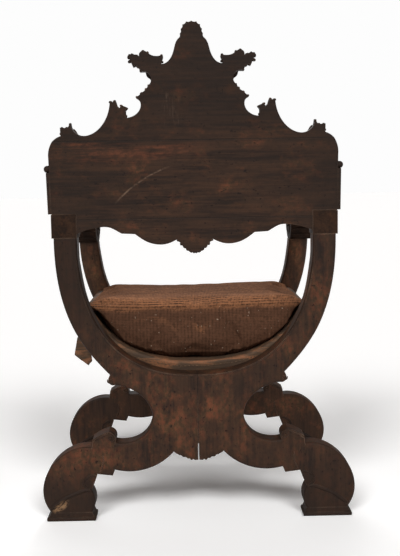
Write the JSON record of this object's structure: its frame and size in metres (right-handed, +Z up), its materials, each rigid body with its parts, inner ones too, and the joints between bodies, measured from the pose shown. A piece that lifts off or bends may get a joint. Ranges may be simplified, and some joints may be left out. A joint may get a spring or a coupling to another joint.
{
  "type": "savonarola armchair",
  "caption": "Carved walnut X-frame armchair with curved arms and scroll legs, a leather sling seat, a loose cloth cushion and a lift-off carved back with a shell crest.",
  "frame": {"origin": "on the floor under the middle of the chair", "axes": "+Z up, -Y the way the sitter faces, +X the sitter's left"},
  "size_m": [0.6682, 0.508, 1.042],
  "materials": {
    "walnut": "satin",
    "plain_wood": "matte",
    "leather": "satin",
    "cushion_cloth": "matte",
    "brass_nails": "satin",
    "iron_nails": "matte"
  },
  "bodies": {
    "chair": {"rear_frame_left": "walnut", "rear_frame_right": "walnut", "front_frame_left": "walnut", "front_frame_right": "walnut", "rear_seam_dowels": "plain_wood", "front_seam_dowels": "plain_wood", "foot_rear_left": "walnut", "foot_rear_right": "walnut", "foot_front_left": "walnut", "foot_front_right": "walnut", "foot_dowels": "plain_wood", "centre_stretcher": "walnut", "front_roundel": "walnut", "armrest_left": "walnut", "armrest_right": "walnut", "armrest_pegs": "plain_wood", "seat_rail_left": "walnut", "seat_rail_right": "walnut", "seat_sling": "leather", "sling_flap": "leather", "sling_nails_left": "brass_nails", "sling_nails_right": "brass_nails"},
    "back": {"back_panel": "walnut", "crest_board": "walnut", "valance_board": "walnut", "crest_dowels": "plain_wood", "valance_dowels": "plain_wood", "back_tongue_left": "plain_wood", "back_tongue_right": "plain_wood", "cheek_left": "walnut", "cheek_right": "walnut", "cheek_nails": "iron_nails", "back_knobs": "walnut", "panel_moulding": "walnut", "crest_cartouche": "walnut"},
    "cushion": {"seat_cushion": "cushion_cloth"}
  },
  "joints": [
    {"name": "back_lift", "type": "slide", "parent": "chair", "child": "back", "axis": [0, 0, 1], "range_m": [0, 0.085]},
    {"name": "cushion_lift", "type": "slide", "parent": "chair", "child": "cushion", "axis": [0, 0, 1], "range_m": [0, 0.12]}
  ]
}
